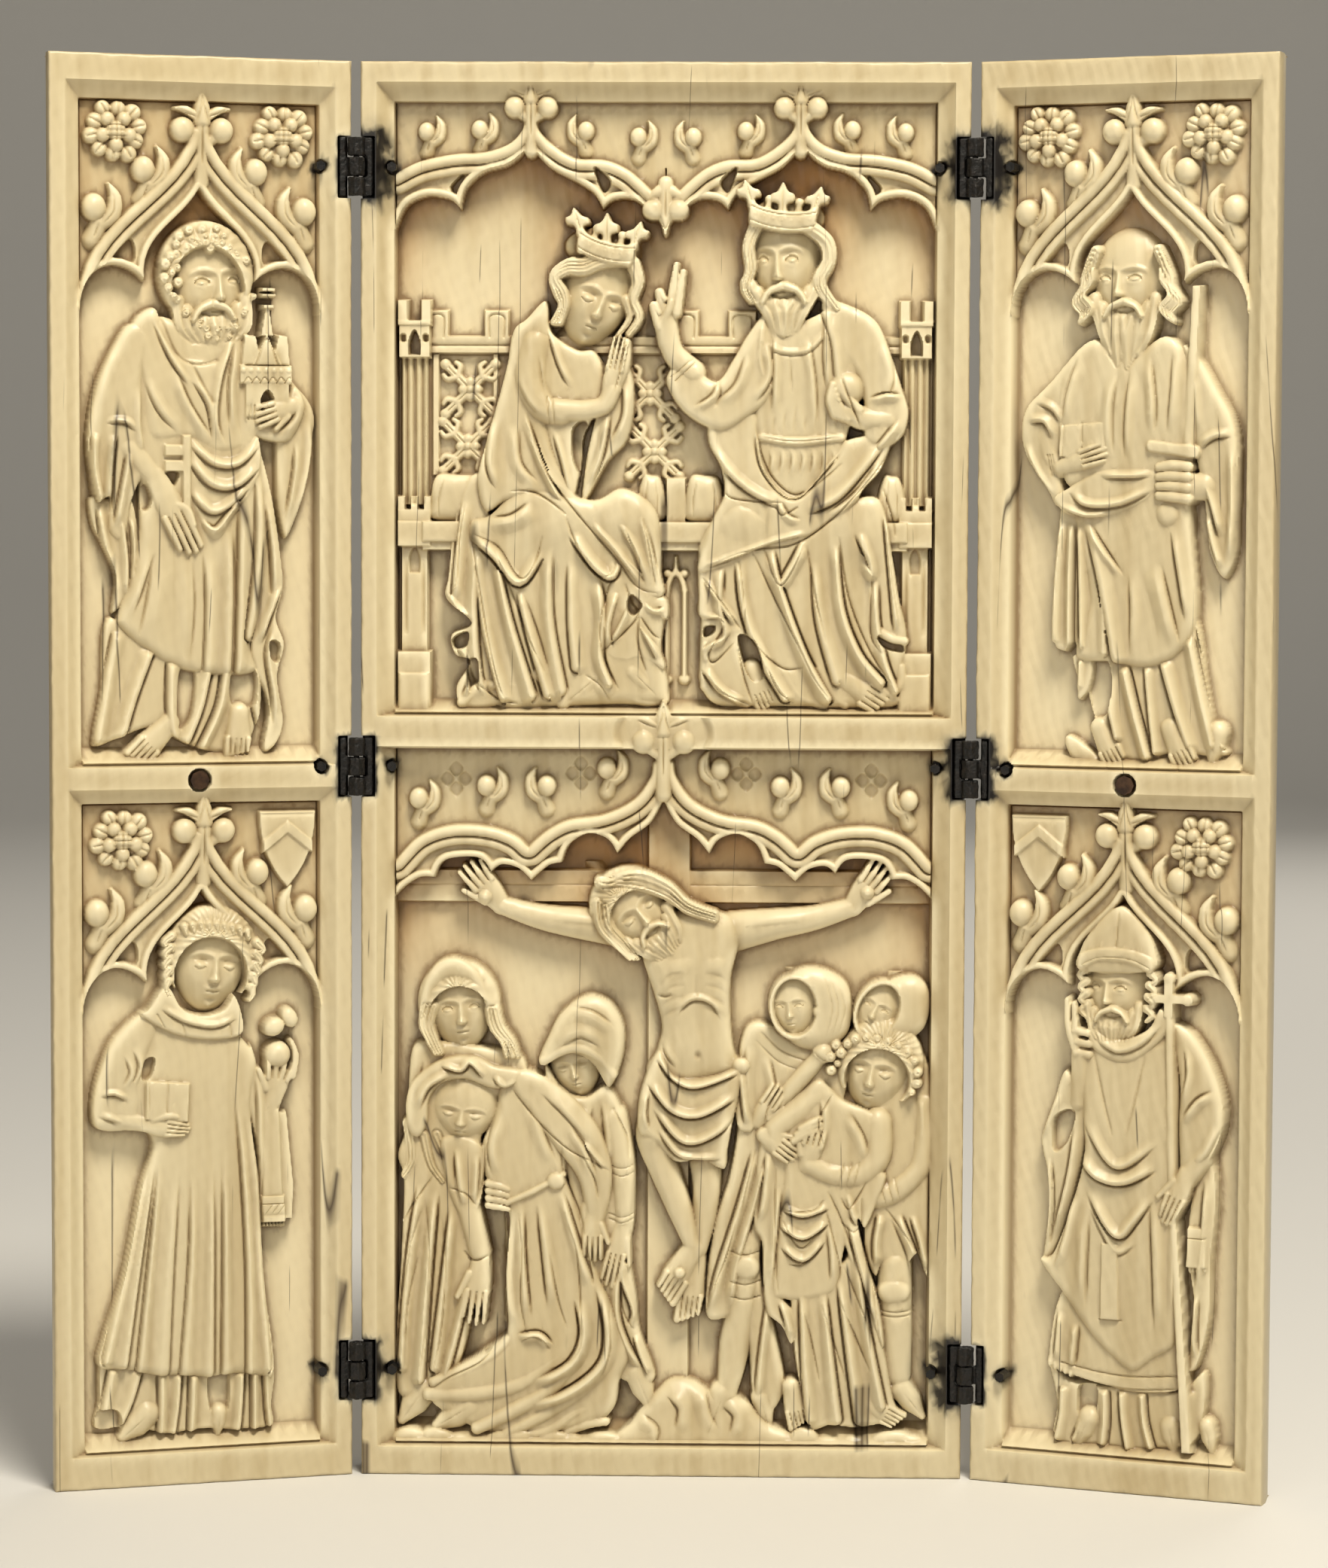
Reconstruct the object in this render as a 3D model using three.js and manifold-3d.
// A folding altarpiece of carved ivory: a centre panel with two scenes in high relief, one over the
// other, and two wings half as wide, each with two standing saints, hung on six small iron hinges.
// Millimetres, +Z up, the carved faces look along -Y. The origin is the middle of the centre panel's
// underside. Reliefs are laid out on a panel's own face: u to the right, z up, h out of the ground.
import * as THREE from 'three';
import { ConvexGeometry } from 'three/addons/geometries/ConvexGeometry.js';
import { mergeVertices } from 'three/addons/utils/BufferGeometryUtils.js';
import { MeshoptSimplifier } from 'three/addons/libs/meshopt_simplifier.module.js';
import Module from 'manifold-3d';

// Driving dimensions.
const HEIGHT = 239;
const CENTRE_WIDTH = 102;
const CENTRE_THICKNESS = 10;
const CENTRE_DEPTH = 7.2;
const WING_WIDTH = 50.7;
const WING_THICKNESS = 7.5;
const WING_DEPTH = 5.3;
const EDGE_GAP = 0.7;
const AXIS_AHEAD = 0.3;
const LEFT_FOLD = THREE.MathUtils.degToRad(18);
const RIGHT_FOLD = THREE.MathUtils.degToRad(20.5);

// Hinges: three knuckles on a pin, with leaves that enter slots in the ivory.
const HINGE_HEIGHTS = { top: 221.5, middle: 121, bottom: 18 };
const HINGE_LENGTH = 9.6;
const HINGE_HALF = 2.95;
const KNUCKLE_RADIUS = 1.5;
const KNUCKLE_GAP = 0.3;
const PIN_RADIUS = 0.5;
const CLEARANCE = 0.3;
const LEAF_FRONT = 1.5;
const LEAF_BACK = 2.5;
const LEAF_REACH = 8;
const RIVET_REACH = 5.9;
const RIVET_RADIUS = 0.85;
const RIVET_LENGTH = 3.6;
const STUD_RADIUS = 1.6;
const STUD_HEIGHT = 119;

const AXIS_X = CENTRE_WIDTH / 2 + EDGE_GAP;
const CENTRE_FRONT = -CENTRE_THICKNESS / 2;
const BURIED = 0.35;

// How many facets a panel's surface may take, and how far they may leave the carved form.
const CENTRE_FACETS = 3650;
const WING_FACETS = 1270;
const FACET_ERROR = 0.6;

const wasm = await Module();
wasm.setup();
await MeshoptSimplifier.ready;

const ivory = new THREE.MeshStandardMaterial({ color: 0xdccaa2, roughness: 0.5, metalness: 0 });
const iron = new THREE.MeshStandardMaterial({ color: 0x1f1b18, roughness: 0.75, metalness: 0.8 });
const brass = new THREE.MeshStandardMaterial({ color: 0x6a5330, roughness: 0.5, metalness: 0.9 });

// ---------------------------------------------------------------- solids

function solid(geometry) {
  const bare = new THREE.BufferGeometry();
  bare.setAttribute('position', geometry.getAttribute('position'));
  bare.setIndex(geometry.getIndex());
  const merged = mergeVertices(bare, 1e-4);
  const vertProperties = new Float32Array(merged.getAttribute('position').array);
  const triVerts = new Uint32Array(merged.getIndex().array);
  return new wasm.Manifold(new wasm.Mesh({ numProp: 3, vertProperties, triVerts }));
}

function meshOf(name, shape, material) {
  const out = shape.getMesh();
  const geometry = new THREE.BufferGeometry();
  geometry.setAttribute('position', new THREE.Float32BufferAttribute(out.vertProperties, 3));
  geometry.setIndex(new THREE.Uint32BufferAttribute(out.triVerts, 1));
  geometry.computeVertexNormals();
  const mesh = new THREE.Mesh(geometry, material);
  mesh.name = name;
  return mesh;
}

// Joining leaves many slivers along the seams: this merges them into fewer, larger facets.
function faceted(shape, triangles, tolerance) {
  const { vertProperties, triVerts } = shape.getMesh();
  const [index] = MeshoptSimplifier.simplify(triVerts, vertProperties, 3, triangles * 3, tolerance,
    ['ErrorAbsolute']);
  const geometry = new THREE.BufferGeometry();
  geometry.setAttribute('position', new THREE.Float32BufferAttribute(vertProperties, 3));
  geometry.setIndex(largestShell(index));
  return solid(geometry.toNonIndexed());
}

// The triangles of the largest shell joined edge to edge, without the crumbs merging can leave.
function largestShell(index) {
  const neighbours = new Map();
  const edges = (start) => [0, 1, 2].map((k) => [index[start + k], index[start + ((k + 1) % 3)]]
    .sort((a, b) => a - b).join());
  for (let start = 0; start < index.length; start += 3) {
    for (const edge of edges(start)) {
      neighbours.set(edge, [...(neighbours.get(edge) ?? []), start]);
    }
  }
  const seen = new Set();
  let largest = [];
  for (let seed = 0; seed < index.length; seed += 3) {
    const shell = [];
    const open = seen.has(seed) ? [] : [seed];
    seen.add(seed);
    while (open.length) {
      const start = open.pop();
      shell.push(start);
      const joined = edges(start).map((edge) => neighbours.get(edge)).filter((pair) => pair.length === 2);
      for (const next of joined.flat().filter((other) => !seen.has(other))) {
        seen.add(next);
        open.push(next);
      }
    }
    largest = shell.length > largest.length ? shell : largest;
  }
  return largest.flatMap((start) => [...index.slice(start, start + 3)]);
}

function join(shapes) {
  return shapes.reduce((whole, next) => whole.add(next));
}

function box(x0, x1, y0, y1, z0, z1) {
  const geometry = new THREE.BoxGeometry(x1 - x0, y1 - y0, z1 - z0);
  geometry.translate((x0 + x1) / 2, (y0 + y1) / 2, (z0 + z1) / 2);
  return solid(geometry);
}

function hull(points) {
  return solid(new ConvexGeometry(points.map(([x, y, z]) => new THREE.Vector3(x, y, z))));
}

function rod(radius, x, y, z0, z1, sides) {
  const geometry = new THREE.CylinderGeometry(radius, radius, z1 - z0, sides);
  geometry.rotateX(Math.PI / 2);
  geometry.translate(x, y, (z0 + z1) / 2);
  return solid(geometry);
}

function stub(radius, x, z, y0, y1, sides) {
  const geometry = new THREE.CylinderGeometry(radius, radius, y1 - y0, sides);
  geometry.translate(x, (y0 + y1) / 2, z);
  return solid(geometry);
}

// ---------------------------------------------------------------- relief carving

// A carver cuts the relief of one panel, whose ground lies `depth` behind its front plane.
function carver(depth) {
  const shapes = [];
  const at = (u, h, z) => [u, depth - h, z];
  const add = (shape) => shapes.push(shape);

  // A rounded ridge between two joints, each given as [u, z, crest height, half width].
  function limb(...joints) {
    for (let i = 0; i + 1 < joints.length; i += 1) {
      const [start, end] = [joints[i], joints[i + 1]];
      const along = new THREE.Vector2(end[0] - start[0], end[1] - start[1]).normalize();
      const points = [];
      for (const [[u, z, crest, half], way] of [[start, -1], [end, 1]]) {
        for (const [side, height] of [[-1, -BURIED], [-0.8, crest - 0.6 * half], [0, crest]]) {
          points.push(at(u - along.y * half * side, height, z + along.x * half * side));
          points.push(at(u + along.y * half * side, height, z - along.x * half * side));
        }
        const tip = way * half * 0.7;
        points.push(at(u + along.x * tip, crest - 0.6 * half, z + along.y * tip));
        points.push(at(u + along.x * tip, -BURIED, z + along.y * tip));
      }
      add(hull(points));
    }
  }

  // A dome with full shoulders, turned in the plane of the panel: a head, a ball or an egg.
  function egg(u, z, crest, halfU, halfZ, tilt = 0, sides = 6) {
    const profile = [0, 0.2, 0.42, 0.7, 1].map((t) => new THREE.Vector2(
      Math.sin((t * Math.PI) / 2) ** 0.75, crest * Math.cos((t * Math.PI) / 2)));
    const foot = [new THREE.Vector2(1, -BURIED), new THREE.Vector2(0, -BURIED)];
    const geometry = new THREE.LatheGeometry([...profile, ...foot], sides);
    geometry.scale(halfU, -1, halfZ);
    geometry.rotateY(tilt);
    geometry.translate(u, depth, z);
    add(solid(geometry));
  }

  // Cloth that hangs in folds through rows of [z, left, right, crest height], top row first.
  function drape(rows, folds, foldDepth = 0.5, sag = 0) {
    const columns = folds * 2;
    const position = [];
    const index = [];
    rows.forEach(([z, left, right, crest], row) => {
      const low = sag * (row / (rows.length - 1)) ** 3;
      for (let column = 0; column <= columns; column += 1) {
        const t = column / columns;
        const round = Math.sin(Math.PI * t);
        const fold = foldDepth * (column % 2 ? 0.5 : -0.5);
        const h = round < 1e-6 ? -BURIED : crest * round ** 0.4 + fold;
        position.push(...at(left + (right - left) * t, h, z - low * round));
      }
    });
    const id = (row, column) => row * (columns + 1) + column;
    const last = rows.length - 1;
    for (let row = 0; row < last; row += 1) {
      for (let column = 0; column < columns; column += 1) {
        const [a, b] = [id(row, column), id(row, column + 1)];
        const [c, d] = [id(row + 1, column), id(row + 1, column + 1)];
        index.push(a, c, b, b, c, d);
      }
      const [a, b] = [id(row, 0), id(row, columns)];
      const [c, d] = [id(row + 1, 0), id(row + 1, columns)];
      index.push(a, b, c, b, d, c);
    }
    for (let column = 1; column < columns; column += 1) {
      index.push(id(0, 0), id(0, column), id(0, column + 1));
      index.push(id(last, 0), id(last, column + 1), id(last, column));
    }
    const geometry = new THREE.BufferGeometry();
    geometry.setAttribute('position', new THREE.Float32BufferAttribute(position, 3));
    geometry.setIndex(index);
    add(solid(geometry));
  }

  // A block with its front edges drawn in, such as a book, a shield or a stone.
  function block(u0, u1, z0, z1, h, slope = 0.4) {
    const points = [];
    for (const [inset, height] of [[0, -BURIED], [slope, h]]) {
      for (const u of [u0 + inset, u1 - inset]) {
        points.push(at(u, height, z0 + inset));
        points.push(at(u, height, z1 - inset));
      }
    }
    add(hull(points));
  }

  // A spike or gable: a base of given half width that narrows to a point.
  function gable(u, z0, z1, half, h) {
    const points = [[u - half, z0], [u + half, z0], [u, z1]].flatMap(([x, z]) => [
      at(x, -BURIED, z), at(u + (x - u) * 0.7, h, z0 + (z - z0) * 0.9 + 0.2)]);
    add(hull(points));
  }

  // A flat plate whose outline is a list of [u, z] corners.
  function plate(outline, h) {
    const shape = new THREE.Shape(outline.map(([u, z]) => new THREE.Vector2(u, z)));
    const geometry = new THREE.ExtrudeGeometry(shape, { depth: h + BURIED, bevelEnabled: false });
    geometry.rotateX(Math.PI / 2);
    geometry.translate(0, depth + BURIED, 0);
    add(solid(geometry));
  }

  return { shapes, limb, egg, drape, block, gable, plate };
}

// ---------------------------------------------------------------- arcades

function curve(steps, ...knots) {
  const points = knots.map(([u, z]) => new THREE.Vector2(u, z));
  return new THREE.CubicBezierCurve(...points).getPoints(steps).map(({ x, y }) => [x, y]);
}

function mirrored(points) {
  return points.map(([u, z]) => [-u, z]).reverse();
}

function moved(points, du, dz) {
  return points.map(([u, z]) => [u + du, z + dz]);
}

// The two edges of a trefoil ogee arch, left foot to right foot, about its own centre line.
function ogeeArch({ half, spring, cusp, apex, outer, neck }) {
  const [cuspU, cuspZ] = cusp;
  const rise = apex - cuspZ;
  const foil = curve(3, [half, spring], [half, spring + 1.3 * (cuspZ - spring)],
    [(half + cuspU) / 2, cuspZ + 0.35 * rise], cusp);
  const head = curve(3, cusp, [cuspU + 1, cuspZ + 0.5 * rise], [0.3 * cuspU, apex - 0.35 * rise],
    [0, apex]);
  const back = curve(4, [half + 0.4, outer], [half + 0.2, outer + 0.75 * (apex - outer)],
    [0.2 * half, apex - 0.1 * rise], [1.2, neck]);
  const rightInner = [...foil, ...head.slice(1)].reverse();
  const rightOuter = back.reverse();
  return {
    inner: [...mirrored(rightInner).slice(0, -1), ...rightInner],
    outer: [...mirrored(rightOuter), ...rightOuter],
  };
}

// A pierced screen over the scene, with a raised moulding along the arches.
function screen(c, { inner, outer }, top, screenHeight, mouldingHeight) {
  const [left, right] = [inner[0][0], inner[inner.length - 1][0]];
  c.plate([...inner, [right, top], [left, top]], screenHeight);
  c.plate([...inner, ...[...outer].reverse()], mouldingHeight);
}

// A curled leaf on the back of an arch.
function crocket(c, u, z, size, h) {
  c.egg(u, z, h, size, size);
  c.limb([u * 0.97, z - size * 1.7, h - 1.4, size * 0.6], [u, z, h - 0.9, size * 0.5]);
}

// The bunch of leaves on top of an arch.
function finial(c, u, z, h, size = 1) {
  c.limb([u, z - 9 * size, h - 0.6, 1.3], [u, z, h - 0.3, 1.5]);
  for (const side of [-1, 1]) {
    c.egg(u + side * 3.4 * size, z, h, 2.2 * size, 2.3 * size);
    c.limb([u, z + 2.2 * size, h - 0.8, 1], [u + side * 4.4 * size, z + 3.3 * size, h - 0.9, 0.7]);
  }
  c.gable(u, z + 1.5 * size, z + 6.2 * size, 1.8 * size, h - 0.4);
}

// A rose with a ring of petals about a boss.
function rose(c, u, z, h) {
  const petals = 9;
  for (const [radius, scallop, height, count] of [[5.1, 0.6, h - 0.8, petals], [3.1, 0.4, h, 5]]) {
    const outline = [];
    for (let i = 0; i < count * 2; i += 1) {
      const angle = (i * Math.PI) / count;
      const reach = radius + (i % 2 ? -scallop : scallop);
      outline.push([u + reach * Math.cos(angle), z + reach * Math.sin(angle)]);
    }
    c.plate(outline, height);
  }
}

// A heater shield with one plain chevron.
function shield(c, u, z, h) {
  const half = 4.7;
  const side = curve(3, [half, 5.5], [half, -1], [2.4, -4.5], [0, -7]);
  const right = side.reverse();
  c.plate(moved([...mirrored(right).slice(0, -1), ...right], u, z), h);
  c.plate(moved([[-4, -1.5], [0, 2.4], [4, -1.5], [4, 0.8], [0, 4.7], [-4, 0.8]], u, z), h + 0.4);
}

// ---------------------------------------------------------------- figures

// A head: the face, hair about it, a nose, and a beard if it has one.
function head(c, { u, z, h, size, tilt = 0, turn = 0, hair = 1.15, beard = 0 }) {
  const [sin, cos] = [Math.sin(tilt), Math.cos(tilt)];
  const place = (side, up) => [u + side * cos + up * sin, z + up * cos - side * sin];
  const width = 0.76 * size;
  const brow = h - 0.06 * size;
  c.egg(...place(0, 0), brow, width, size, tilt, 8);
  if (hair) {
    c.egg(...place(-turn * 0.2 * size, 0.28 * size), brow - 0.06 * size, width * hair, size * 0.95,
      tilt, 8);
  }
  const nose = turn * 0.3 * size;
  c.limb([...place(nose, 0.2 * size), brow, 0.09 * size],
    [...place(nose * 1.15, -0.22 * size), h + 0.03 * size, 0.15 * size]);
  if (beard) {
    c.limb([...place(nose * 0.9, -0.55 * size), brow, 0.42 * size],
      [...place(nose * 0.7, -(0.75 + beard) * size), brow - 0.1 * size, 0.25 * size]);
  }
}

// A hand as a palm with the fingers held together, from the wrist to the finger tips.
function hand(c, wrist, tips, h, half) {
  const middle = [(wrist[0] + tips[0]) / 2, (wrist[1] + tips[1]) / 2];
  c.limb([...wrist, h - 0.3, half * 0.8], [...middle, h, half], [...tips, h - 0.4, half * 0.6]);
}

function foot(c, heel, toe, h) {
  c.limb([...heel, h, 1.8], [...toe, h - 0.8, 1.7]);
}

// The apostle with a key and a small church.
function keyApostle(c) {
  const h = 4.9;
  c.drape([[148, -14, 13.5, 3.4], [136, -15.5, 13.5, 3.2], [126, -17.5, 13, 3]], 5, 0.8);
  c.drape([[196, -9, 8, 3], [188, -14.5, 12, 4], [174, -17.5, 15, 4.2], [158, -15, 13.5, 4.2],
    [146, -13.5, 12.5, 4.1]], 4, 0.6, 8);
  c.limb([-12, 191, 4.2, 3.6], [-15.5, 178, 4.6, 3.4], [-8, 168, 4.9, 2.2]);
  c.drape([[178, -18.5, -9, 3.6], [166, -18, -12, 3.4], [150, -15, -12, 2.6]], 2, 0.7);
  c.drape([[182, 13.5, 19.5, 3.4], [170, 10, 18.5, 3.6], [156, 9.5, 14.5, 3.2], [135, 10, 14.5, 2.6]],
    2, 0.9);
  for (const drop of [0, 4.6, 9.5]) {
    c.limb([-2 + drop * 0.2, 174 - drop, 4.5, 0.9], [4, 169.3 - drop, 4.8, 1], [9, 173 - drop, 4.4, 0.8]);
  }
  head(c, { u: 0.8, z: 203.4, h, size: 8.6, tilt: -0.12, turn: 0.6, hair: 1.16, beard: 0.35 });
  hand(c, [-8, 168], [-2.5, 158], h, 2.3);
  c.block(-6.2, -2.4, 169.5, 177, 4.6);
  c.limb([-1.2, 176, 4.8, 0.9], [-1.2, 160, 4.8, 0.9]);
  c.block(7.3, 14.8, 178, 186, 4.4);
  c.gable(11, 185.5, 199, 4.4, 4.7);
  c.block(9.6, 12.6, 198, 201, 4, 0.6);
  hand(c, [17.5, 178.5], [10, 180], h, 2);
  foot(c, [-9, 128], [-10.5, 124.2], 3.6);
  foot(c, [6.5, 129], [7.8, 124], 3.4);
}

// The deacon with a book and three stones.
function deacon(c) {
  const h = 4.9;
  c.drape([[24, -16, 11, 3], [8.5, -17.5, 12, 3]], 6, 1);
  c.drape([[80, -11, 7.5, 3.2], [72, -11, 9, 4], [58, -9, 9.5, 4.2], [40, -12.5, 10.8, 4.1],
    [20.5, -17.7, 12, 4]], 5, 0.6, 1.5);
  c.limb([-10.5, 76, 4, 3.4], [-15.3, 65, 4.6, 3.2], [-6, 61.2, 4.9, 1.8]);
  c.limb([5.5, 75, 3.6, 3], [9.5, 66, 4, 2.2], [13, 67.5, 4.6, 1.9]);
  const collar = curve(4, [-10.5, 80.5], [-6, 75.3], [2, 74], [6.5, 76.5]);
  c.plate([...collar, [5.5, 82.5], [-5.5, 85]], 4.5);
  head(c, { u: 1.8, z: 88, h, size: 8.4, tilt: 0.03, turn: 0.15, hair: 1.3 });
  c.block(-10.2, -2.8, 62, 68.8, 4.7);
  hand(c, [-9, 61], [-3, 60.5], h, 1.5);
  for (const [u, z, size] of [[12.8, 72.6, 2.5], [12.2, 77.4, 1.9], [15, 78.9, 1.8]]) {
    c.egg(u, z, 4.6, size * 0.9, size);
  }
  hand(c, [12.5, 66.5], [14.8, 71.5], h - 0.4, 1.8);
  c.block(10.4, 13.8, 47, 65, 3.4);
  c.block(10.2, 15.4, 43.2, 48.8, 3.6);
  foot(c, [-11, 12.5], [-12, 9.5], 4);
  foot(c, [2.4, 12.5], [2.9, 9.3], 4);
}

// The bearded apostle with a book and an upright sword.
function swordApostle(c) {
  const h = 4.9;
  c.drape([[152, -7, 12, 3.2], [138, -8.5, 14, 3.2], [125, -9.5, 17.8, 3]], 5, 0.9);
  c.drape([[196, -6, 9, 3], [188, -12, 14, 3.8], [174, -15, 15, 4.2], [160, -11.5, 11.5, 4.3],
    [146, -12.5, 11.5, 4.1]], 4, 0.6, 6);
  c.drape([[168, -13, -6, 3.8], [156, -13, -7, 3.8], [143, -13.4, -8, 3.4]], 2, 0.9);
  c.limb([-11, 188, 4, 3.4], [-16, 177, 4.5, 3.2], [-11, 172, 4.8, 2.1]);
  c.limb([11, 190, 4, 3.6], [15.8, 177, 4.5, 3.3], [11, 169.5, 4.8, 2.4]);
  c.drape([[176, 13, 19, 3.8], [165, 13, 18.8, 3.8], [155.5, 14.5, 17.8, 3.2]], 2, 0.9);
  c.limb([-12.5, 171, 4.4, 1.3], [-6, 165.5, 4.8, 1.7], [4.5, 169.5, 4.5, 1.5]);
  c.limb([-8, 163, 4.5, 0.8], [-1, 154, 4.6, 0.9]);
  c.limb([5.5, 163, 4.5, 0.8], [0.8, 154, 4.6, 0.9]);
  head(c, { u: -0.3, z: 202.6, h, size: 8.3, turn: -0.3, hair: 1.25, beard: 0.8 });
  c.block(-11.6, -3.4, 171, 178.8, 4.7);
  hand(c, [-11.5, 172.5], [-4.5, 174], h, 1.7);
  c.limb([10.6, 176, 4.4, 1.1], [11.6, 201.5, 3.9, 1.1]);
  c.limb([4.4, 175.3, 4.8, 1], [11.6, 173.6, 4.8, 1]);
  hand(c, [11.5, 169.3], [5.5, 169.5], h, 2.7);
  c.egg(7, 164.6, 4.7, 2.6, 2.6);
  foot(c, [-5, 128.5], [-4, 123.8], 3.4);
  foot(c, [9, 128.5], [8.8, 124], 3.8);
}

// The bishop with a mitre, a cross staff and a hand raised in blessing.
function bishop(c) {
  const h = 4.9;
  c.drape([[40, -12, 14.5, 2.8], [24, -12, 15, 3], [17.5, -12, 15.3, 3]], 4, 0.7);
  c.drape([[18, -10.5, 15, 2.4], [7.6, -12, 16.5, 2.6]], 6, 1);
  c.drape([[77, -4.5, 8, 3.4], [66, -7.5, 9.5, 4.1], [52, -7.5, 9.5, 4.4], [38, -11.5, 10, 4.2],
    [32, -9.5, 10, 4.1]], 3, 0.5, 11);
  for (const [z, half] of [[66, 4], [54, 6], [44, 4.5]]) {
    c.limb([-half, z + 3.5, 4.3, 0.8], [0.5, z, 4.8, 1], [half + 1, z + 3.5, 4.2, 0.8]);
  }
  c.limb([-7.5, 72, 3.8, 2.6], [-12, 62, 3.6, 2.2], [-7.5, 69, 4.4, 2.2], [-7.5, 73, 4.6, 2]);
  c.drape([[64, -14, -8, 3], [52, -13, -9, 2.6], [39, -13.3, -10.5, 2.4]], 2, 0.7);
  c.limb([10, 77, 4, 3], [15, 66, 4.3, 3], [11, 52.5, 4.7, 2.1]);
  c.drape([[57, 12, 16.5, 3], [44, 11.2, 15.4, 3], [30, 11.5, 14.8, 2.6], [18, 12, 15, 2.6]], 2, 0.6);
  head(c, { u: -0.6, z: 83.6, h, size: 7, turn: -0.3, hair: 1.2, beard: 0.12 });
  c.plate([[-6.2, 88], [5.5, 88], [6, 93], [0, 99.6], [-5, 93.8]], 4.3);
  c.plate([[-6.4, 86.8], [5.8, 87.3], [5.8, 90], [-6.4, 89.5]], 4.7);
  hand(c, [-7.2, 71], [-9.3, 81.6], h, 2.1);
  c.limb([8.3, 87, 4.2, 0.9], [9.6, 50, 4.8, 0.8], [12, 7.5, 4, 0.9]);
  c.limb([5.6, 83.4, 4.3, 0.8], [11.8, 83.7, 4.3, 0.8]);
  hand(c, [11, 53], [7.6, 47], h, 2.1);
  foot(c, [-6, 12.5], [-6.3, 8.5], 3.6);
  foot(c, [8.8, 12.5], [8.6, 8.5], 3.6);
}

// The bench throne: two side towers, a crenellated back with a diaper of leaves, and a seat.
function throne(c) {
  const wall = 1.6;
  c.block(-45, 45, 190.5, 194, wall + 1.4, 0.3);
  for (const [u0, u1] of [[-39.6, -35.4], [-31, -26.6], [2.5, 5.6], [10.4, 14.5]]) {
    c.block(u0, u1, 193.8, 197.8, wall + 1.2, 0.2);
  }
  c.block(-40, 40, 170, 190.7, 0.5, 0.2);
  for (const u of [-33, 0]) {
    for (const z of [186, 176]) {
      c.limb([u - 4.5, z - 4.5, wall, 0.7], [u + 4.5, z + 4.5, wall, 0.7]);
      c.limb([u - 4.5, z + 4.5, wall, 0.7], [u + 4.5, z - 4.5, wall, 0.7]);
    }
  }
  c.block(-41, 41, 157.6, 162.4, 4.6, 0.3);
  c.block(-39, 39, 162, 169.5, 3.2, 1.2);
  c.block(-40, 40, 130, 158, 0.8, 0.1);
  c.gable(1.8, 149, 154, 2.2, 1.6);
  for (const u of [0.3, 3.4]) {
    c.block(u - 0.5, u + 0.5, 137, 150, 1.6, 0.1);
  }
  for (const side of [-1, 1]) {
    const low = (a, b) => (side < 0 ? [-b, -a] : [a, b]);
    c.block(...low(39.6, 45.2), 189, 196, 3.4, 0.3);
    for (const inner of [39.4, 43.3]) {
      c.block(...low(inner, inner + 2), 195.8, 199.3, 3.4, 0.2);
    }
    c.block(...low(40.6, 44.4), 166, 189.2, 2.4, 0.3);
    c.block(...low(40, 45.2), 158.5, 166.5, 3.8, 0.4);
    c.block(...low(41, 44.6), 141, 159, 2.8, 0.3);
    c.block(...low(40.2, 45.3), 130, 140.4, 4.4, 0.8);
  }
}

// The crowned Virgin, seated at the left, with her hands together.
function crownedVirgin(c) {
  const h = 6.6;
  c.drape([[172, -34, -8, 4], [160, -37, -1, 5.2], [148, -37.5, 0, 5.2], [131, -36, 0.6, 4.6]], 7, 1);
  c.drape([[197, -24, -10, 4], [186, -27.5, -8, 5], [176, -29, -9.5, 5], [166, -31, -8, 4.8]], 4, 0.5);
  c.limb([-21, 191, 5.6, 3.6], [-18, 180.5, 6.2, 2.7], [-9, 182, 6.4, 2], [-7.4, 188, 6.4, 1.8]);
  c.limb([-12, 190, 4.6, 2.4], [-9, 177, 5, 2.6]);
  hand(c, [-7.8, 184], [-7, 192.6], h, 1.8);
  c.limb([-26, 164, 5.6, 4], [-17, 158.5, 6.4, 3.6], [-18, 140, 5.8, 3]);
  c.limb([-12, 167, 5.4, 3.4], [-5, 162, 6.2, 3.6], [-2.5, 148, 5.6, 2.6]);
  c.limb([-31, 162, 5.8, 1], [-24, 156, 6.2, 1.1], [-9, 154.5, 6.3, 1.2]);
  c.limb([-27, 180, 5.2, 0.9], [-15, 165, 5.8, 0.9], [-1, 149, 5.8, 0.9]);
  c.drape([[160, -37, -30, 4.6], [146, -37.5, -31, 4.4], [132, -35.5, -27, 4]], 2, 1);
  head(c, { u: -13.3, z: 200, h, size: 8.4, tilt: 0.36, turn: 0.45, hair: 1.18 });
  crown(c, -10.4, 207.6, 6.2, 0.14, h - 0.4);
  foot(c, [-12, 136], [-6.5, 132.8], 5);
  foot(c, [-4, 137], [-1.5, 133], 5);
}

// A crown: a band with three leaves standing on it.
function crown(c, u, z, half, tilt, h) {
  const [sin, cos] = [Math.sin(tilt), Math.cos(tilt)];
  const place = (side, up) => [u + side * cos + up * sin, z + up * cos - side * sin];
  c.plate([place(-half, -1.4), place(half, -1.4), place(half * 1.06, 1.6), place(-half * 1.06, 1.6)], h);
  for (const [side, reach] of [[-0.8, 4.6], [0, 5.2], [0.8, 4.6]]) {
    c.plate([place(side * half - 1.7, 1.2), place(side * half + 1.7, 1.2),
      place(side * half * 1.2, reach + 1)], h - 0.5);
  }
}

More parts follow.
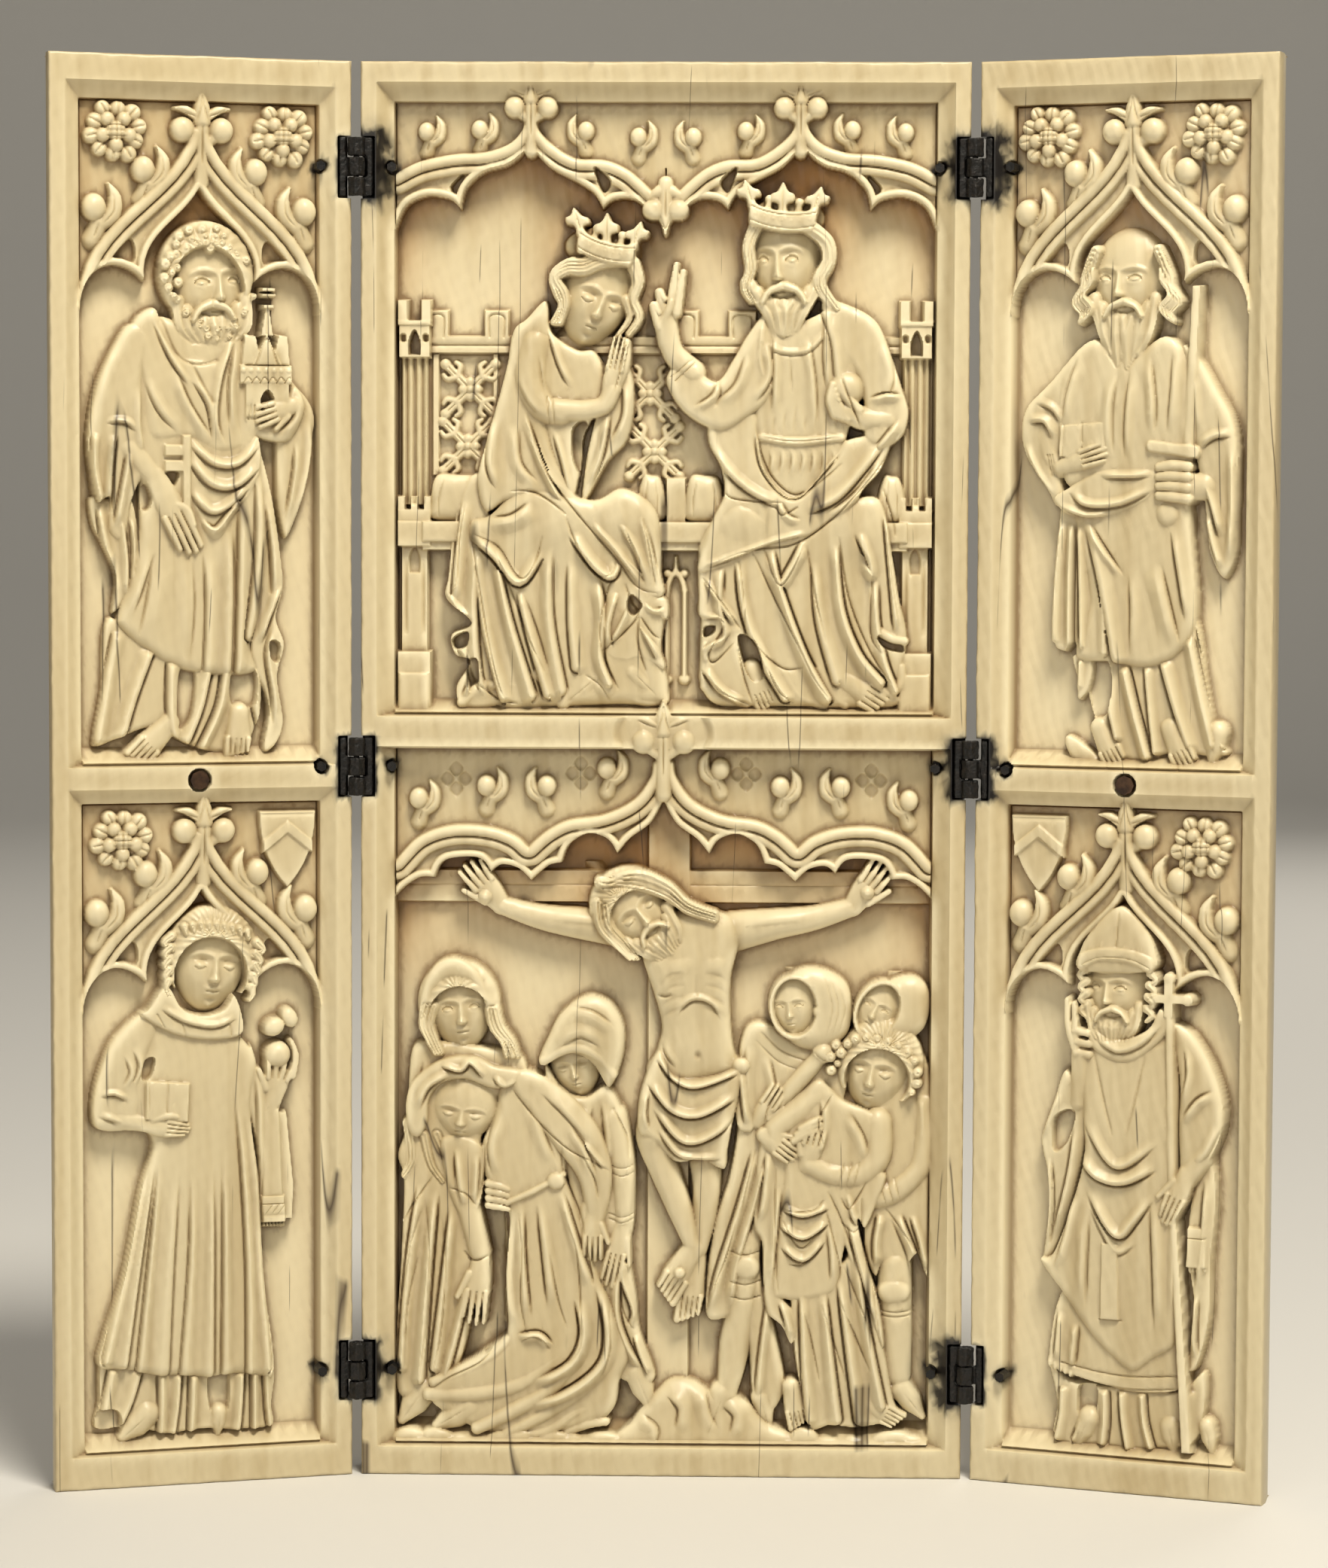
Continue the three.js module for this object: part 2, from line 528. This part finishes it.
// The crowned Christ, seated at the right, blessing, with an orb.
function crownedChrist(c) {
  const h = 6.6;
  c.drape([[168, 8, 38, 4.4], [158, 6.3, 39, 5.2], [146, 6.3, 40.4, 5.2], [131, 6.5, 40, 4.6]], 7, 1);
  c.drape([[198, 15, 33, 3.6], [188, 12, 38, 4.8], [176, 14, 38, 4.8], [164, 12, 38, 4.8]], 4, 0.5);
  c.limb([17, 191, 5, 3.8], [9.5, 181.5, 6.2, 3.6], [2.6, 190, 6.4, 2.2], [0.5, 195, 6.4, 2]);
  c.limb([7, 178, 5, 2], [12, 168, 5, 2.6], [20, 164.5, 5.4, 1.6]);
  hand(c, [0, 194], [1.2, 204.4], h, 2.1);
  c.limb([35, 193, 5, 3.8], [38, 180.5, 5.8, 3.2], [31, 179.5, 6.4, 2.2]);
  c.limb([38, 178, 5.6, 2], [33, 170, 5.8, 1.6], [20, 160.5, 6, 1.2], [7, 155, 5.8, 1]);
  c.egg(30.2, 184.4, 6.7, 3.1, 3.1, 0, 8);
  hand(c, [33, 180], [28.5, 182.5], h, 1.5);
  c.limb([16, 176, 5.3, 0.7], [29, 175, 5.3, 0.7]);
  c.limb([15, 172, 5.4, 3], [13, 163, 6.3, 3.8], [17, 146, 5.6, 2.6], [26, 133, 5.2, 2]);
  c.limb([30, 168, 5.4, 3], [33, 160, 6.3, 3.8], [36, 144, 5.6, 2.6]);
  c.drape([[156, 6.4, 13, 5], [146, 6, 14, 5], [139, 6.4, 12, 4.4]], 2, 1);
  head(c, { u: 20.6, z: 204.6, h, size: 8.8, tilt: -0.05, turn: -0.35, hair: 1.22, beard: 0.25 });
  c.limb([26, 212, 5.6, 2], [27.8, 206, 5.4, 1.8], [26.8, 198, 5, 1.5]);
  crown(c, 20, 214.2, 6.4, 0.12, h - 0.3);
  foot(c, [16, 136], [17, 132.3], 4.8);
  foot(c, [30, 135.5], [35, 132.8], 5.2);
}

// The cross and Christ on it.
function crucifixion(c) {
  const h = 6.4;
  c.block(-45.5, 45.5, 98.4, 105.4, 1.8, 0.2);
  c.block(-2.4, 4.4, 14, 116, 1.6, 0.2);
  c.drape([[95.5, -5, 14, 3.6], [88, -2.2, 12.6, 4.8], [80, -0.4, 12, 5], [74.5, -0.6, 12, 4.7],
    [70, -1.5, 13, 4.8]], 3, 0.3);
  for (const rib of [0, 1]) {
    c.limb([1.5, 78.5 - rib * 4.6, 4.9, 0.7], [5.8, 80.6 - rib * 4.6, 5.5, 0.7],
      [10.2, 79 - rib * 4.6, 4.9, 0.7]);
  }
  c.limb([-3, 93, 3.8, 2.4], [-15, 94.6, 3.8, 2.2], [-27, 97.5, 3.7, 1.8]);
  hand(c, [-28.5, 98], [-33.5, 104.6], 4, 2.2);
  c.limb([11.5, 93.5, 3.8, 2.4], [21, 94.6, 3.8, 2.1], [31.5, 97, 3.7, 1.7]);
  hand(c, [33, 98], [37.2, 104], 4, 2.2);
  c.drape([[71, -2.2, 13.4, 5], [64, -3.6, 12.6, 5.6], [56, -3, 11.2, 5.4], [53, 1, 10, 5]], 4, 0.7, 1);
  c.limb([-0.5, 70.5, 5.2, 1], [5, 66.5, 5.9, 1.2], [12, 69.5, 5.2, 1]);
  c.limb([1, 66, 5.6, 0.9], [6, 61.5, 6, 1], [11.6, 65, 5.4, 0.9]);
  c.drape([[69, 12, 16.5, 4], [62, 12, 16, 4], [58.5, 12.5, 15.5, 3.4]], 2, 0.8);
  c.limb([-1.5, 60, 4.6, 2.6], [-1.2, 56.5, 5, 2.5], [3, 40, 4.8, 1.9]);
  c.limb([6, 56, 4.6, 2.4], [6.8, 44, 4.6, 2], [4, 37, 4.8, 1.8]);
  c.limb([3.5, 38.5, 5, 2.6], [4.6, 33, 5.2, 3], [3.4, 27.4, 4.6, 2.7]);
  c.egg(3, 34.8, 5.8, 0.9, 0.9);
  head(c, { u: -4.6, z: 97.4, h, size: 7.6, tilt: -0.62, turn: 0.2, hair: 1.25, beard: 0.12 });
  c.limb([-9, 102.5, 5.6, 1.7], [-1.5, 101.4, 5.8, 1.6], [4, 97, 5.4, 1.5], [9, 95.5, 5, 1.1]);
}

// Three women at the left of the cross, the middle one swooning.
function mourningWomen(c) {
  const h = 6.4;
  c.drape([[73, -42, -25, 3.4], [62, -43.5, -28, 4], [46, -45, -30, 4.2], [28, -45, -32, 4.2],
    [11, -44.8, -32, 3.8]], 4, 0.9);
  head(c, { u: -34.2, z: 79, h: 5.9, size: 7.4, hair: 1.5 });
  c.limb([-40.6, 80, 4.6, 1.6], [-40, 73, 4.6, 1.6]);
  c.limb([-28.6, 80, 4.6, 1.6], [-26.4, 73, 4.6, 1.6]);
  c.drape([[76, -20, -8, 3.6], [66, -16, -5, 4], [52, -14, -4.6, 4.4], [38, -12, -4, 4.4],
    [15, -14, -1, 4]], 3, 0.8);
  c.egg(-14.2, 75.6, 5.6, 7.6, 7, 0.15, 8);
  head(c, { u: -14.8, z: 71.4, h: 5.2, size: 5.8, tilt: -0.3, turn: -0.2, hair: 0 });
  c.limb([-8.5, 62, 4.8, 2.4], [-6.4, 52, 5.2, 2.2], [-6.6, 44, 5.4, 1.6]);
  hand(c, [-6.6, 42], [-8.8, 33.5], 5.6, 1.9);
  c.drape([[68, -31, -20, 4.4], [58, -31, -12, 5.4], [50, -27.5, -12, 5.4], [40, -27.5, -9.5, 5.6],
    [28, -27.5, -6.5, 5.6], [18, -38, -5, 5.2], [7, -39, -4, 4]], 6, 0.9);
  c.limb([-24, 67, 5.4, 2.6], [-13.5, 58, 6, 2.8], [-11.5, 47, 6, 2.2]);
  hand(c, [-11.4, 45], [-11.2, 37.5], 6, 1.9);
  c.limb([-34, 52, 4.6, 2.6], [-31.5, 40, 5.2, 2.2], [-31, 36, 5.4, 1.8]);
  hand(c, [-30.6, 36], [-31.6, 26.5], 5.6, 2.3);
  hand(c, [-26.5, 48.5], [-29, 47.5], 6, 2);
  c.limb([-25.5, 48, 5.9, 0.6], [-16.5, 51.5, 5.9, 0.6]);
  for (const drop of [0, 4.5, 9]) {
    c.limb([-37 + drop * 0.6, 15.5 - drop, 5, 1.1], [-22, 17.5 - drop, 5.8, 1.3],
      [-9 + drop * 0.3, 26 - drop * 1.6, 5.6, 1]);
  }
  c.egg(-34.5, 63, 5.6, 8.2, 6.6, 0.1, 8);
  head(c, { u: -34, z: 62.4, h: 6.3, size: 6.6, tilt: -0.35, hair: 0 });
  foot(c, [-42, 12.5], [-43.6, 9.5], 4.4);
  foot(c, [-33, 10.6], [-37.5, 8.2], 4.8);
  foot(c, [-4.2, 16.5], [-1.8, 12], 4.6);
}

// Saint John and two men in coifs at the right of the cross.
function johnAndSoldiers(c) {
  const h = 6.3;
  c.drape([[75, 13.5, 29, 3.6], [64, 13, 30, 4], [52, 11.5, 30, 4], [40, 11, 30, 3.8], [27, 7.5, 19, 3.4]],
    4, 0.8);
  c.drape([[40, 12.5, 17.5, 4.6], [34, 12.3, 17.2, 4.8], [28, 11.8, 17, 4]], 2, 0.4);
  c.limb([13.5, 27, 3.8, 3.4], [11.5, 15, 4, 2.6], [8.5, 9, 4.4, 1.7]);
  c.egg(25.2, 80, 5.8, 7.6, 7, 0.1, 8);
  head(c, { u: 22, z: 80.8, h: 5.9, size: 4.6, tilt: -0.15, turn: -0.2, hair: 0 });
  c.limb([20, 66, 4.6, 1.8], [27.5, 72.5, 5.4, 1.8]);
  c.egg(27.4, 72.4, 5.8, 1.9, 1.9);
  c.drape([[72, 33, 45.4, 3.4], [60, 34, 45.4, 4], [44, 34, 45.4, 4], [33, 36, 45.4, 3.6]], 3, 0.8);
  c.egg(38.6, 80.4, 5.2, 6.8, 5.6, 0.5, 8);
  head(c, { u: 36, z: 80, h: 5.3, size: 4.4, tilt: 0.5, turn: -0.2, hair: 0 });
  c.limb([44, 60, 4.4, 1.9], [43, 52, 4.8, 1.9], [35.5, 48, 5, 1.8]);
  c.limb([40, 36, 4.6, 3], [40.2, 30, 4.8, 2.8], [40.6, 16, 4.2, 2.6]);
  foot(c, [42, 15], [44.2, 10.6], 3.8);
  c.drape([[67, 24, 40, 3.8], [58, 21, 38.5, 5], [48, 19.5, 36, 5.2], [38, 20, 32, 5.2], [30, 19.6, 31, 5]],
    4, 0.6, 1);
  c.drape([[34, 23, 33.5, 4.6], [22, 23, 37.5, 4.8], [8, 25, 40, 4.6]], 5, 1);
  c.limb([20.5, 45.5, 5.4, 0.9], [24, 40, 5.8, 1], [28, 45.5, 5.4, 0.9]);
  c.drape([[62, 16, 22, 4.4], [46, 16.5, 20.5, 4.6], [30, 17, 22, 4.4], [22, 20, 23.5, 4]], 2, 0.8);
  c.limb([36.5, 62, 5.2, 2.8], [36.6, 53, 5.8, 2.6], [26, 54.5, 6.2, 2], [24.4, 59, 6.2, 1.8]);
  c.limb([28, 65, 5, 2.4], [19.5, 59, 5.8, 2.2], [22.5, 57, 6.2, 1.8]);
  c.drape([[58, 32, 38.5, 4.8], [48, 30.5, 36, 5], [43, 31, 34, 4.4]], 2, 0.8);
  head(c, { u: 36.4, z: 70, h, size: 7, tilt: -0.22, turn: -0.2, hair: 1.35 });
  foot(c, [22, 14], [23.4, 9.6], 5);
  foot(c, [35, 12], [40, 9.6], 4.8);
}

function mound(c) {
  c.drape([[16.5, 0, 16, 3], [11, -4, 18, 5], [6, -45, 45, 5], [3, -45, 45, 5]], 5, 0.8);
}

// ---------------------------------------------------------------- panels

// A slab with sunk fields: each field has a mitred bevel, walls, and a sill that slopes forward.
function slab(width, thickness, depth, fields) {
  const bevelDepth = 0.35 * depth;
  const cuts = fields.map(({ half, bottom, top, side, brow, sill, lip }) => {
    const ring = (y, u, low, high) => [[-u, y, low], [u, y, low], [-u, y, high], [u, y, high]];
    const bevel = hull([...ring(-1, half + side * 1.4, bottom - lip * 1.4, top + brow * 1.4),
      ...ring(bevelDepth, half, bottom, top)]);
    const well = hull([...ring(0, half, bottom, top), ...ring(depth, half, bottom + sill, top)]);
    return bevel.add(well);
  });
  const body = box(-width / 2, width / 2, 0, thickness, 0, HEIGHT);
  return cuts.reduce((rest, cut) => rest.subtract(cut), body);
}

// The cuts for one hinge in the edge of a panel; `edge` is the axis, `way` points into the panel.
function hingeCuts(edge, way, height) {
  const span = (a, b) => (way > 0 ? [edge + a, edge + b] : [edge - b, edge - a]);
  const [low, high] = [height - HINGE_LENGTH / 2 - CLEARANCE, height + HINGE_LENGTH / 2 + CLEARANCE];
  const pocket = box(...span(-1, HINGE_HALF), -1, LEAF_BACK + CLEARANCE, low, high);
  const slot = box(...span(0, LEAF_REACH + CLEARANCE), LEAF_FRONT - CLEARANCE,
    LEAF_BACK + CLEARANCE, low, high);
  const hole = stub(RIVET_RADIUS + CLEARANCE, edge + way * RIVET_REACH, height, -1,
    RIVET_LENGTH + 2 * CLEARANCE, 6);
  return join([pocket, slot, hole]);
}

function centrePanel() {
  const c = carver(CENTRE_DEPTH);
  const half = CENTRE_WIDTH / 2 - 5.6;
  const field = { half, side: 3, brow: 3.2, lip: 1 };
  const body = slab(CENTRE_WIDTH, CENTRE_THICKNESS, CENTRE_DEPTH, [
    { ...field, bottom: 130, top: 232.4, sill: 1 },
    { ...field, bottom: 5.5, top: 123.8, sill: 2 },
  ]);
  const pair = ogeeArch({
    half: 22.7, spring: 209, cusp: [12.2, 215.4], apex: 225, outer: 219, neck: 230,
  });
  const [left, right] = [-1, 1].map((side) => ({
    inner: moved(pair.inner, side * 22.7, 0), outer: moved(pair.outer, side * 22.7, 0),
  }));
  screen(c, left, 232.6, 3, 5.4);
  screen(c, right, 232.6, 3, 5.4);
  const crockets = [4.5, 13.5, 31, 40.5];
  for (const side of [-1, 1]) {
    crockets.forEach((u) => crocket(c, side * u, 227.6, 1.7, 5.2));
    finial(c, side * 22.6, 232.2, 6.4, 0.85);
  }
  c.gable(0, 216, 210.4, 2.4, 5.8);
  c.egg(-2.2, 214.8, 5.7, 1.9, 1.7);
  c.egg(2.2, 214.8, 5.7, 1.9, 1.7);
  throne(c);
  crownedVirgin(c);
  crownedChrist(c);
  lowerArcade(c);
  crucifixion(c);
  mourningWomen(c);
  johnAndSoldiers(c);
  mound(c);
  const cuts = [];
  for (const height of Object.values(HINGE_HEIGHTS)) {
    cuts.push(hingeCuts(-AXIS_X, 1, height), hingeCuts(AXIS_X, -1, height));
  }
  const clip = box(-half - 2, half + 2, 0.25, CENTRE_THICKNESS - 0.5, 1, HEIGHT - 2);
  const carved = body.add(join(c.shapes).intersect(clip));
  return faceted(carved, CENTRE_FACETS, FACET_ERROR).subtract(join(cuts));
}

// The canopy of the lower scene: a wide cusped ogee between two halves of round arches.
function lowerArcade(c) {
  const edge = 45.4;
  const [valley, valleyZ] = [23, 101.8];
  const innerRight = [
    ...curve(2, [0, 115], [1, 112], [5, 110], [9, 106.3]),
    ...curve(3, [9, 106.3], [11, 110], [16, 110], [17.7, 104.6]).slice(1),
    ...curve(2, [17.7, 104.6], [19.5, 105.4], [21.5, 104], [valley, valleyZ]).slice(1),
    ...curve(2, [valley, valleyZ], [25, 105], [27.5, 105.5], [30, 103.2]).slice(1),
    ...curve(4, [30, 103.2], [31, 108.6], [39, 108.6], [39.8, 102.2]).slice(1),
    ...curve(2, [39.8, 102.2], [41.5, 103], [44, 101], [edge, 98.8]).slice(1),
  ];
  const outerRight = [
    ...curve(3, [1.2, 120.5], [2.4, 116], [8, 114], [13, 112.8]),
    ...curve(2, [13, 112.8], [17.5, 111.8], [20.5, 110.5], [valley + 0.3, 107.2]).slice(1),
    ...curve(3, [valley + 0.3, 107.2], [29, 111.5], [40, 112.5], [edge, 104.2]).slice(1),
  ];
  const inner = [...mirrored(innerRight).slice(0, -1), ...innerRight];
  const outer = [...mirrored(outerRight), ...outerRight];
  screen(c, { inner, outer }, 124, 3, 5.4);
  for (const side of [-1, 1]) {
    for (const [u, z] of [[9.4, 120.4], [20.3, 117.4], [30, 117.8], [41, 116.2]]) {
      crocket(c, side * u, z, 1.9, 5.2);
    }
  }
  finial(c, 0, 126.2, 6.7, 1.15);
}

function wing(side) {
  const c = carver(WING_DEPTH);
  const half = WING_WIDTH / 2 - 5.3;
  const field = { half, side: 2.6, brow: 3, lip: 2.6, sill: 2.6 };
  const upperFloor = 121.8;
  const body = slab(WING_WIDTH, WING_THICKNESS, WING_DEPTH, [
    { ...field, bottom: upperFloor, top: 231.6 },
    { ...field, bottom: 6, top: 115 },
  ]);
  for (const [rise, apex] of [[0, 217.4], [1, 100.4]]) {
    const arch = ogeeArch({
      half, spring: apex - 20.6, cusp: [9.3, apex - 15.6], apex, outer: apex - 20.6, neck: apex + 9,
    });
    screen(c, arch, apex + 14.4, 2.2, 4.1);
    for (const way of [-1, 1]) {
      crocket(c, way * 17.6, apex - 4.2, 2.2, 4.4);
      crocket(c, way * 9.2, apex + 2, 2, 4.3);
    }
    finial(c, 0, apex + 9.8, 4.9, 0.95);
    for (const way of [-1, 1]) {
      if (rise && way === -side) {
        shield(c, way * 14.6, apex + 8, 3);
      } else {
        rose(c, way * 14, apex + 9.2, 4.1);
      }
    }
  }
  if (side < 0) {
    keyApostle(c);
    deacon(c);
  } else {
    swordApostle(c);
    bishop(c);
  }
  const edge = side < 0 ? WING_WIDTH / 2 + EDGE_GAP : -WING_WIDTH / 2 - EDGE_GAP;
  const cuts = Object.values(HINGE_HEIGHTS).map((height) => hingeCuts(edge, side, height));
  cuts.push(stub(STUD_RADIUS + CLEARANCE, 0.6 * side, STUD_HEIGHT, -1, 2, 8), outerRelief(side));
  const clip = box(-half - 1, half + 1, 0.25, WING_THICKNESS - 0.5, 1, HEIGHT - 2);
  const carved = body.add(join(c.shapes).intersect(clip));
  return faceted(carved, WING_FACETS, FACET_ERROR).subtract(join(cuts));
}

// The outer edge is eased at the back, so that the two wings pass each other as they close.
function outerRelief(side) {
  const outer = side * WING_WIDTH / 2;
  const ease = 0.75;
  const corner = [[outer, WING_THICKNESS * 0.4], [outer - side * ease, WING_THICKNESS + 0.1],
    [outer + side, WING_THICKNESS + 0.1], [outer + side, WING_THICKNESS * 0.4]];
  return hull([-1, HEIGHT + 1].flatMap((z) => corner.map(([x, y]) => [x, y, z])));
}

// ---------------------------------------------------------------- hinges

const KNUCKLE = (HINGE_LENGTH - 2 * KNUCKLE_GAP) / 3;

// A leaf about its own axis at x = 0: `way` points into its panel, `rows` are its knuckles.
function hingeLeaf(way, rows) {
  const span = (a, b) => (way > 0 ? [a, b] : [-b, -a]);
  const [bottom, top] = [-HINGE_LENGTH / 2, HINGE_LENGTH / 2];
  const shoulder = KNUCKLE_RADIUS + CLEARANCE + 0.1;
  const web = 1;
  const parts = [
    box(...span(shoulder, HINGE_HALF - CLEARANCE), AXIS_AHEAD + 0.2, AXIS_AHEAD + LEAF_BACK, bottom, top),
    box(...span(shoulder, LEAF_REACH), AXIS_AHEAD + LEAF_FRONT, AXIS_AHEAD + LEAF_BACK, bottom, top),
  ];
  for (const row of rows) {
    const low = bottom + row * (KNUCKLE + KNUCKLE_GAP);
    parts.push(rod(KNUCKLE_RADIUS, 0, 0, low, low + KNUCKLE, 6));
    parts.push(box(...span(0.9, shoulder + 0.1), AXIS_AHEAD + 0.2, AXIS_AHEAD + 0.2 + web,
      low, low + KNUCKLE));
  }
  const bore = rod(PIN_RADIUS + CLEARANCE, 0, 0, bottom - 1, top + 1, 6);
  const hole = stub(RIVET_RADIUS + CLEARANCE, way * RIVET_REACH, 0, 0, 5, 6);
  return join(parts).subtract(bore.add(hole));
}

function placed(mesh, x, y, z) {
  mesh.position.set(x, y, z);
  return mesh;
}

// ---------------------------------------------------------------- assembly

const altarpiece = new THREE.Group();
altarpiece.name = 'altarpiece';
altarpiece.add(placed(meshOf('centre_panel', centrePanel(), ivory), 0, CENTRE_FRONT, 0));

for (const [name, side, fold] of [['left', -1, LEFT_FOLD], ['right', 1, RIGHT_FOLD]]) {
  const swing = new THREE.Group();
  swing.position.set(side * AXIS_X, CENTRE_FRONT - AXIS_AHEAD, 0);
  swing.rotation.z = -side * fold;
  altarpiece.add(swing);
  const middle = side * (EDGE_GAP + WING_WIDTH / 2);
  swing.add(placed(meshOf(`${name}_wing`, wing(side), ivory), middle, AXIS_AHEAD, 0));
  swing.add(placed(
    meshOf(`${name}_wing_stud`, stub(STUD_RADIUS, 0, 0, 0.1, 1.6, 8), brass),
    middle + 0.6 * side, AXIS_AHEAD, STUD_HEIGHT,
  ));
  for (const [place, height] of Object.entries(HINGE_HEIGHTS)) {
    const prefix = `${name}_${place}_hinge`;
    const axisY = CENTRE_FRONT - AXIS_AHEAD;
    const pin = rod(PIN_RADIUS, 0, 0, -HINGE_LENGTH / 2, HINGE_LENGTH / 2, 6);
    const rivet = () => stub(RIVET_RADIUS, 0, 0, 0.1, RIVET_LENGTH, 6);
    altarpiece.add(placed(meshOf(`${prefix}_centre_leaf`, hingeLeaf(-side, [0, 2]), iron),
      side * AXIS_X, axisY, height));
    altarpiece.add(placed(meshOf(`${prefix}_pin`, pin, iron), side * AXIS_X, axisY, height));
    altarpiece.add(placed(meshOf(`${prefix}_centre_rivet`, rivet(), iron),
      side * (AXIS_X - RIVET_REACH), CENTRE_FRONT, height));
    swing.add(placed(meshOf(`${prefix}_wing_leaf`, hingeLeaf(side, [1]), iron), 0, 0, height));
    swing.add(placed(meshOf(`${prefix}_wing_rivet`, rivet(), iron),
      side * RIVET_REACH, AXIS_AHEAD, height));
  }
}

export default altarpiece;
